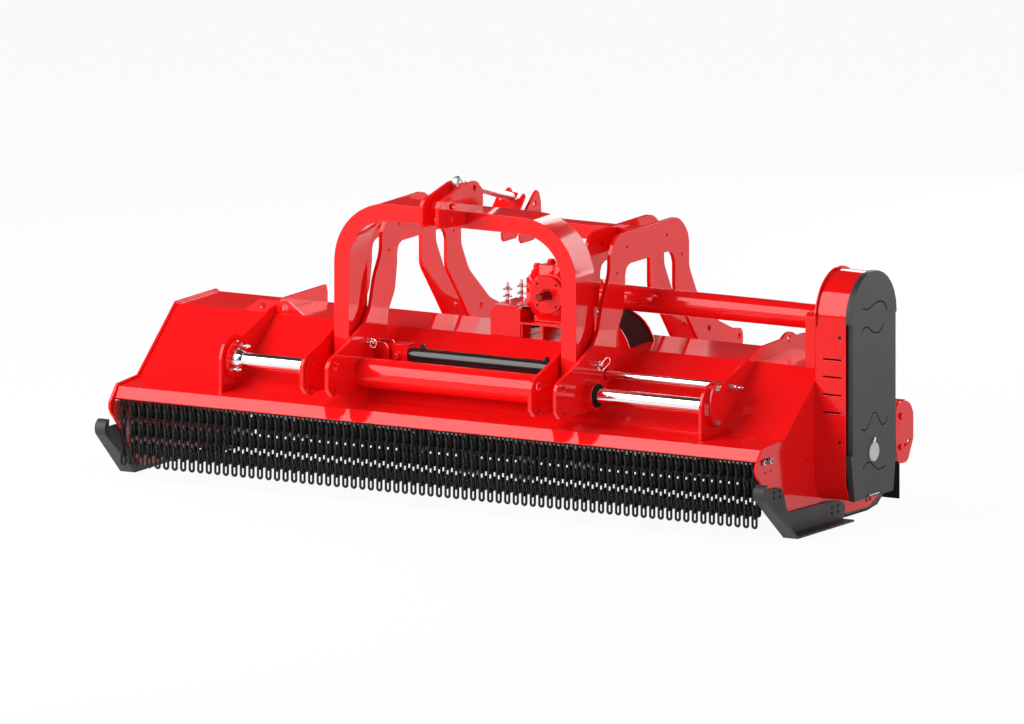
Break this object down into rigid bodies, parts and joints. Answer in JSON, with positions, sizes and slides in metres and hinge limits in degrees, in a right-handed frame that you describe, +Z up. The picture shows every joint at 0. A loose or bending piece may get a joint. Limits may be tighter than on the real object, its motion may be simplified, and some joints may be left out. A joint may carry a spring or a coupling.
{
  "type": "hammer knife mower",
  "caption": "Tractor-mounted hammer knife mower with a side-shifting reversible three-point hitch, guard chains, a belt drive and an adjustable rear door.",
  "frame": {"origin": "on the ground under the middle of the overall width and length", "axes": "+X along the rotor towards the belt case, +Y towards the rear door, +Z up"},
  "size_m": [3.0969, 1.463, 1.2962],
  "materials": {
    "red_paint": "glossy red paint",
    "black_paint": "glossy black paint",
    "dark_paint": "satin dark grey paint",
    "chromed_steel": "polished hard chrome",
    "worn_steel": "bare machined steel",
    "cast_housing": "dark cast iron",
    "bronze_bush": "turned bronze",
    "black_rubber": "matt black rubber",
    "pale_steel": "pale grey paint"
  },
  "bodies": {
    "housing": {"hood_shell": "red_paint", "left_end_plate": "red_paint", "right_end_plate": "red_paint", "left_rod_plate": "red_paint", "right_rod_plate": "red_paint", "guide_rod": "chromed_steel", "rod_flange": "red_paint", "rod_cap": "red_paint", "counter_knife": "worn_steel", "front_skid_left": "dark_paint", "front_skid_right": "dark_paint", "rear_skid_left": "dark_paint", "rear_skid_right": "dark_paint", "rotor_bearing_left": "cast_housing", "rotor_bearing_right": "cast_housing", "gearbox_case": "red_paint", "gearbox_flange_front": "red_paint", "gearbox_flange_rear": "red_paint", "gearbox_stand": "red_paint", "tailgate_ear_left": "dark_paint", "tailgate_ear_right": "dark_paint", "drive_tube": "red_paint", "drive_tube_bracket": "red_paint", "belt_case": "red_paint", "belt_cover": "dark_paint", "drive_belt": "black_rubber", "piston_rod": "chromed_steel"},
    "carriage": {"hitch_plate_1": "red_paint", "hitch_plate_2": "red_paint", "hitch_plate_3": "red_paint", "hitch_plate_4": "red_paint", "guide_tube": "red_paint", "guide_bush_left": "bronze_bush", "guide_bush_right": "bronze_bush", "guide_seal_left": "black_rubber", "guide_seal_right": "black_rubber", "front_arch": "red_paint", "rear_cross_tube": "red_paint", "rear_hitch_bracket": "red_paint", "tie_rod": "chromed_steel", "top_hitch_plate_left": "red_paint", "top_hitch_plate_right": "red_paint", "shift_barrel": "black_paint", "barrel_bracket": "red_paint", "handle_pin_left": "chromed_steel", "handle_pin_right": "chromed_steel"},
    "rotor": {"rotor": "worn_steel", "rotor_pulley": "cast_housing"},
    "drive_line": {"drive_shaft": "worn_steel", "drive_pulley": "cast_housing", "bevel_pinion": "worn_steel"},
    "power_input": {"input_shaft": "worn_steel", "crown_gear": "worn_steel"},
    "front_chains": {"chain_row_front": "dark_paint"},
    "rear_chains": {"chain_row_rear": "dark_paint"},
    "rear_door": {"tailgate": "red_paint", "rear_flap": "black_rubber", "flap_strip": "worn_steel"},
    "shutter": {"inspection_disc": "pale_steel"}
  },
  "joints": [
    {"name": "carriage_shift", "type": "slide", "parent": "housing", "child": "carriage", "axis": [1, 0, 0], "range_m": [-0.2, 0.3]},
    {"name": "rotor_spin", "type": "hinge", "parent": "housing", "child": "rotor", "pos_m": [0, -0.03, 0.2845], "axis": [1, 0, 0], "continuous": true},
    {"name": "drive_spin", "type": "hinge", "parent": "housing", "child": "drive_line", "pos_m": [0, -0.03, 0.789], "axis": [1, 0, 0], "continuous": true},
    {"name": "input_spin", "type": "hinge", "parent": "housing", "child": "power_input", "pos_m": [0.1577, -0.03, 0.789], "axis": [0, 1, 0], "continuous": true},
    {"name": "front_chain_swing", "type": "hinge", "parent": "housing", "child": "front_chains", "pos_m": [0, -0.611, 0.318], "axis": [1, 0, 0], "range_deg": [-35, 35]},
    {"name": "rear_chain_swing", "type": "hinge", "parent": "housing", "child": "rear_chains", "pos_m": [0, -0.563, 0.318], "axis": [1, 0, 0], "range_deg": [-35, 35]},
    {"name": "rear_door_swing", "type": "hinge", "parent": "housing", "child": "rear_door", "pos_m": [0, 0.456, 0.333], "axis": [1, 0, 0], "range_deg": [0, 32]},
    {"name": "shutter_swing", "type": "hinge", "parent": "housing", "child": "shutter", "pos_m": [1.543, -0.03, 0.3305], "axis": [1, 0, 0], "range_deg": [0, 90]}
  ],
  "couplings": [
    {"joint": "drive_spin", "follows": "rotor_spin", "ratio": 0.80769},
    {"joint": "input_spin", "follows": "rotor_spin", "ratio": -0.46154},
    {"joint": "rear_chain_swing", "follows": "front_chain_swing", "ratio": 1}
  ]
}
